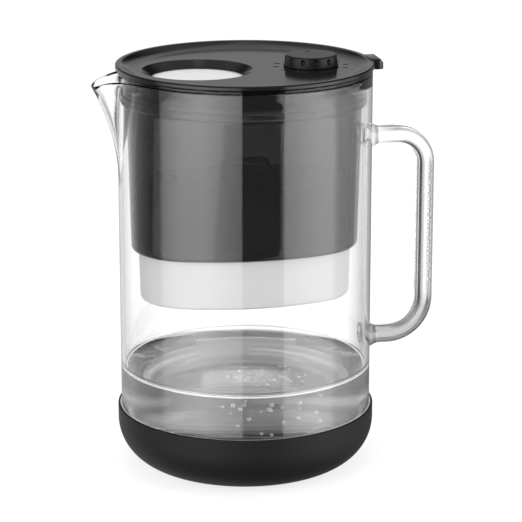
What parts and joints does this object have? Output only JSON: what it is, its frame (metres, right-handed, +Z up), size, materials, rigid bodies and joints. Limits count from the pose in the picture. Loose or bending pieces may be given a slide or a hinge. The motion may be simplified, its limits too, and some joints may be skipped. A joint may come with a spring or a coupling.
{
  "type": "water filter pitcher",
  "caption": "Glass pitcher with a spout and glass handle, a dark hopper holding an oval filter cartridge, a lid with fill flap and date dial, and a silicone boot.",
  "frame": {"origin": "on the jug's axis, at the surface that the boot stands on", "axes": "+Z up along the jug's axis, +X towards the handle, -X towards the spout"},
  "size_m": [0.1972, 0.148, 0.2377],
  "materials": {
    "clear_glass": "clear, fire polished",
    "black_silicone": "matte",
    "smoke_plastic": "smoke tinted, translucent",
    "black_plastic": "satin black",
    "white_plastic": "fine matte white",
    "flap_plastic": "smooth white",
    "dark_seal": "soft black",
    "pale_seal": "soft translucent white",
    "felt": "non-woven felt",
    "resin_beads": "fine amber beads",
    "carbon_grains": "black grains",
    "steel": "drawn stainless",
    "dial_nylon": "natural nylon"
  },
  "bodies": {
    "jug": {"glass_jug": "clear_glass", "glass_handle": "clear_glass", "silicone_boot": "black_silicone"},
    "hopper": {"hopper_shell": "smoke_plastic", "hopper_seal_ring": "dark_seal"},
    "filter": {"filter_cup": "white_plastic", "filter_housing": "white_plastic", "filter_cap": "white_plastic", "filter_pull_loop": "white_plastic", "filter_gasket": "pale_seal", "outlet_screen": "felt", "resin_bed": "resin_beads", "bed_divider": "felt", "carbon_bed": "carbon_grains", "inlet_screen": "felt"},
    "lid": {"lid_plate": "black_plastic", "lid_seal_ring": "dark_seal", "flap_hinge_pin": "steel", "flap_spring": "steel"},
    "flap": {"fill_flap": "flap_plastic", "flap_seal": "pale_seal"},
    "dial": {"dial_knob": "black_plastic", "dial_retaining_ring": "steel", "dial_washer": "dial_nylon", "dial_o_ring": "dark_seal"}
  },
  "joints": [
    {"name": "hopper_lift", "type": "slide", "parent": "jug", "child": "hopper", "axis": [0, 0, 1], "range_m": [0, 0.15]},
    {"name": "filter_lift", "type": "slide", "parent": "hopper", "child": "filter", "axis": [0, 0, 1], "range_m": [0, 0.012]},
    {"name": "lid_lift", "type": "slide", "parent": "hopper", "child": "lid", "axis": [0, 0, 1], "range_m": [0, 0.08]},
    {"name": "flap_swing", "type": "hinge", "parent": "lid", "child": "flap", "pos_m": [0.0037, 0, 0.2251], "axis": [0, -1, 0], "range_deg": [0, 45], "stiffness_Nm_per_rad": 0.004, "springref_deg": -45.84, "deforming": ["flap_spring"]},
    {"name": "dial_turn", "type": "hinge", "parent": "lid", "child": "dial", "pos_m": [0.038, 0, 0.234], "axis": [0, 0, 1], "continuous": true}
  ]
}
